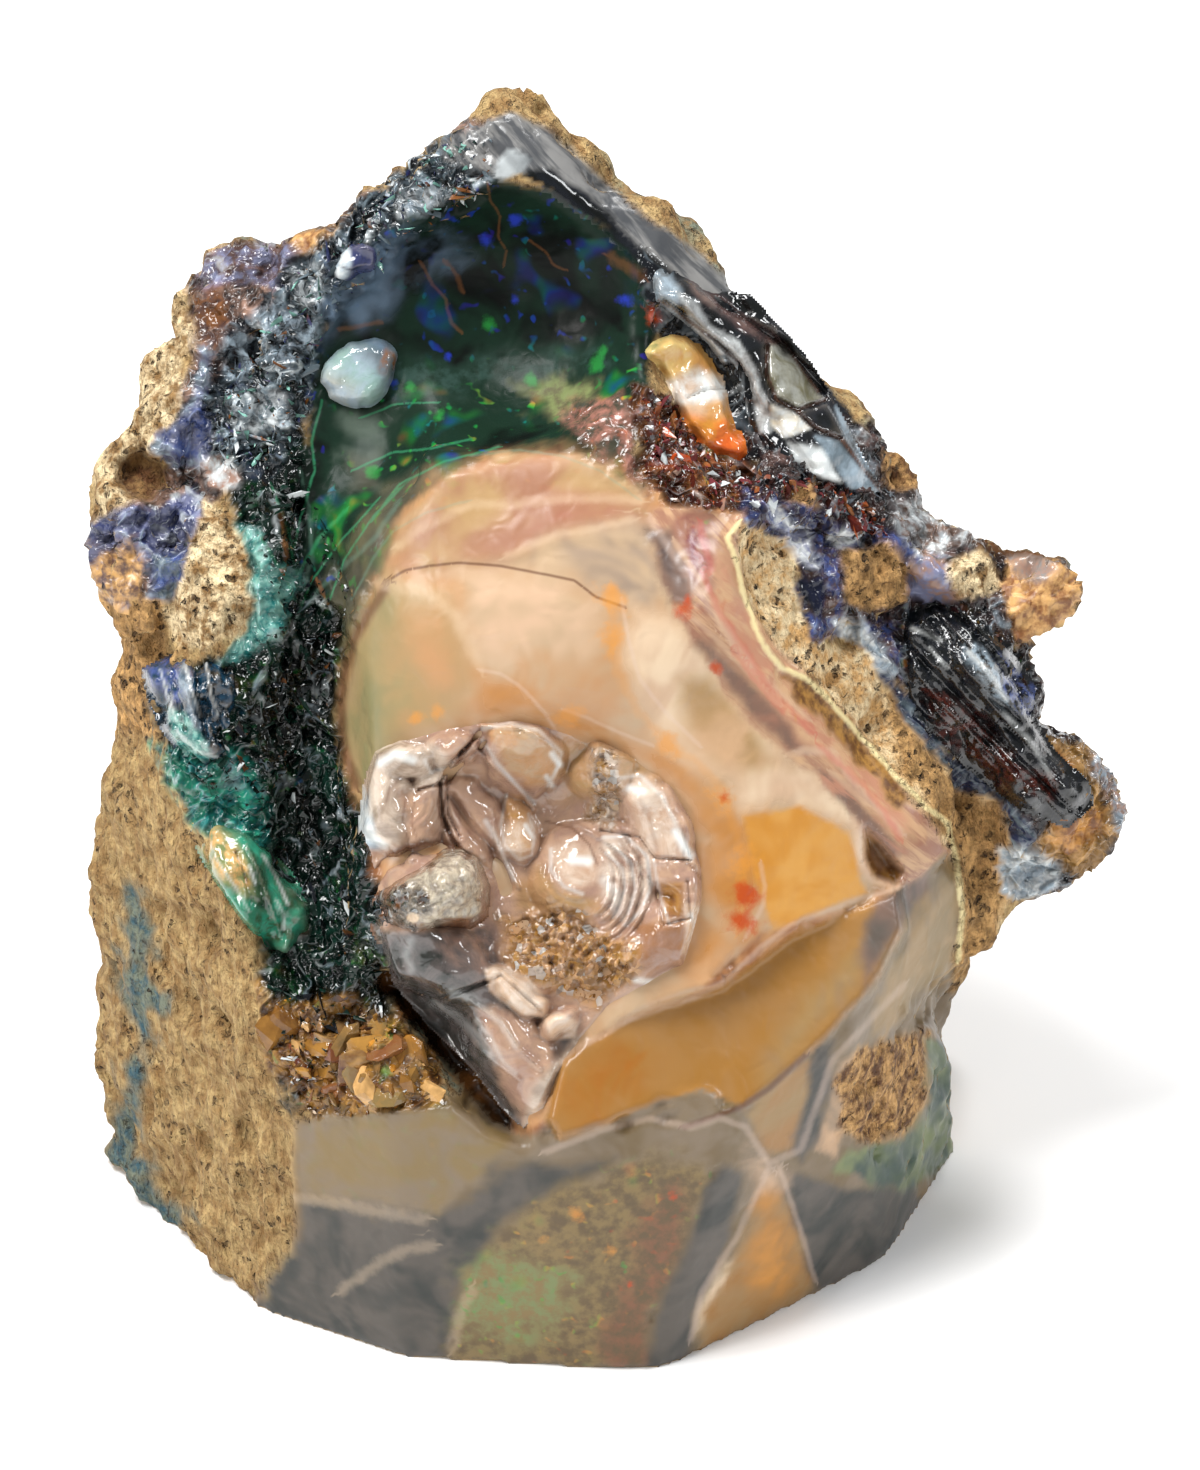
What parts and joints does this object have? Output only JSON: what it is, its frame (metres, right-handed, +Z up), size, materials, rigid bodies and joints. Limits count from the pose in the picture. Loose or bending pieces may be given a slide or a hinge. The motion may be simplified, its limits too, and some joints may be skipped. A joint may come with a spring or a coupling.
{
  "type": "wood opal specimen",
  "caption": "Opalised wood hand specimen: a pointed block with a flat ground base, polished facets, a glassy broken opal face and a rough wood-grained rind, for display.",
  "frame": {"origin": "middle of the specimen's footprint box, on the ground base", "axes": "+Z up, +X to the right of the opal face, +Y from the opal face to the back of the stone"},
  "size_m": [0.0702, 0.051, 0.0779],
  "materials": {
    "opal": "glassy to waxy opal with a dull fibrous wood rind"
  },
  "bodies": {
    "root": {"wood_opal": "opal"}
  },
  "joints": []
}
